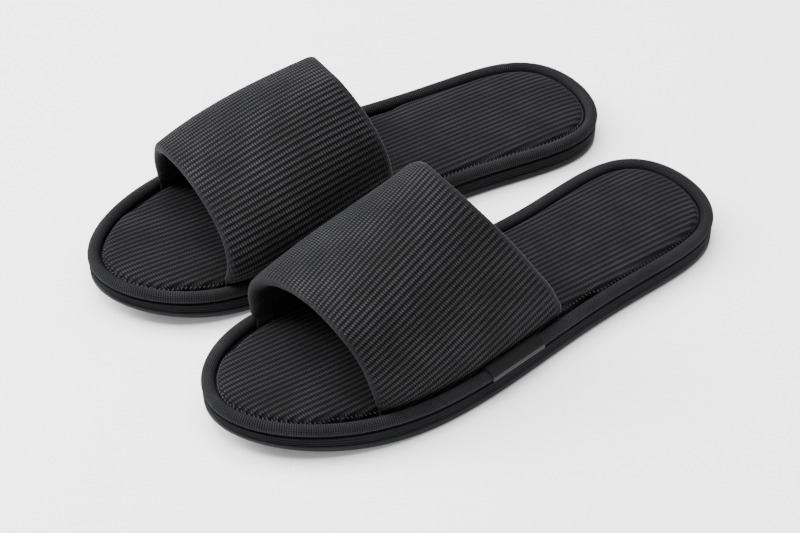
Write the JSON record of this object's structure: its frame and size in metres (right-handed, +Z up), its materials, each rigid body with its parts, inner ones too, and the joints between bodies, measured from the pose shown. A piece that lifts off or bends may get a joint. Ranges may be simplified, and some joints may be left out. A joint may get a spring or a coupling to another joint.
{
  "type": "pair of open-toe spa slippers",
  "caption": "Pair of flat open-toe slippers with a padded rib-knit band over the instep, a domed rib-knit sock, a corded welt and a soft foam sole.",
  "frame": {"origin": "on the floor, under the middle of the pair's box", "axes": "+Y towards the heels, -Y towards the toes, +X towards the wearer's left slipper, +Z up"},
  "size_m": [0.213, 0.282, 0.0893],
  "materials": {
    "outsole_foam": "matt moulded foam rubber, faint satin edge",
    "wrap_knit": "fine black knit",
    "fibre_board": "pressed fibre board",
    "padding_foam": "soft open-cell foam",
    "welt_knit": "black knit with fine ribs across the welt",
    "filler_cord": "soft spun cord",
    "sock_knit": "black rib knit, matt",
    "sewing_thread": "spun polyester thread",
    "rib_knit": "charcoal rib knit, matt with a soft sheen",
    "lining_cloth": "black brushed lining",
    "woven_label": "bare black woven ribbon"
  },
  "bodies": {
    "left_slipper": {"left_outsole": "outsole_foam", "left_side_wrap": "wrap_knit", "left_insole_board": "fibre_board", "left_midsole_foam": "padding_foam", "left_welt_cover": "welt_knit", "left_welt_cord": "filler_cord", "left_sock_foam": "padding_foam", "left_sock_cover": "sock_knit", "left_sock_seam_thread": "sewing_thread", "left_upper_cover": "rib_knit", "left_upper_foam": "padding_foam", "left_upper_lining": "lining_cloth"},
    "right_slipper": {"right_outsole": "outsole_foam", "right_side_wrap": "wrap_knit", "right_insole_board": "fibre_board", "right_midsole_foam": "padding_foam", "right_welt_cover": "welt_knit", "right_welt_cord": "filler_cord", "right_sock_foam": "padding_foam", "right_sock_cover": "sock_knit", "right_sock_seam_thread": "sewing_thread", "right_upper_cover": "rib_knit", "right_upper_foam": "padding_foam", "right_upper_lining": "lining_cloth"},
    "left_label": {"left_label_tab": "woven_label"},
    "right_label": {"right_label_tab": "woven_label"}
  },
  "joints": [
    {"name": "right_slipper_lift", "type": "slide", "parent": "left_slipper", "child": "right_slipper", "axis": [0, 0, 1], "range_m": [0, 0.15]},
    {"name": "left_label_flip", "type": "hinge", "parent": "left_slipper", "child": "left_label", "pos_m": [0.09685, -0.0092, 0.01564], "axis": [0.1647, -0.9863, 0], "range_deg": [0, 40]},
    {"name": "right_label_flip", "type": "hinge", "parent": "right_slipper", "child": "right_label", "pos_m": [-0.09685, -0.00681, 0.01564], "axis": [0.1647, 0.9863, 0], "range_deg": [0, 40]}
  ]
}
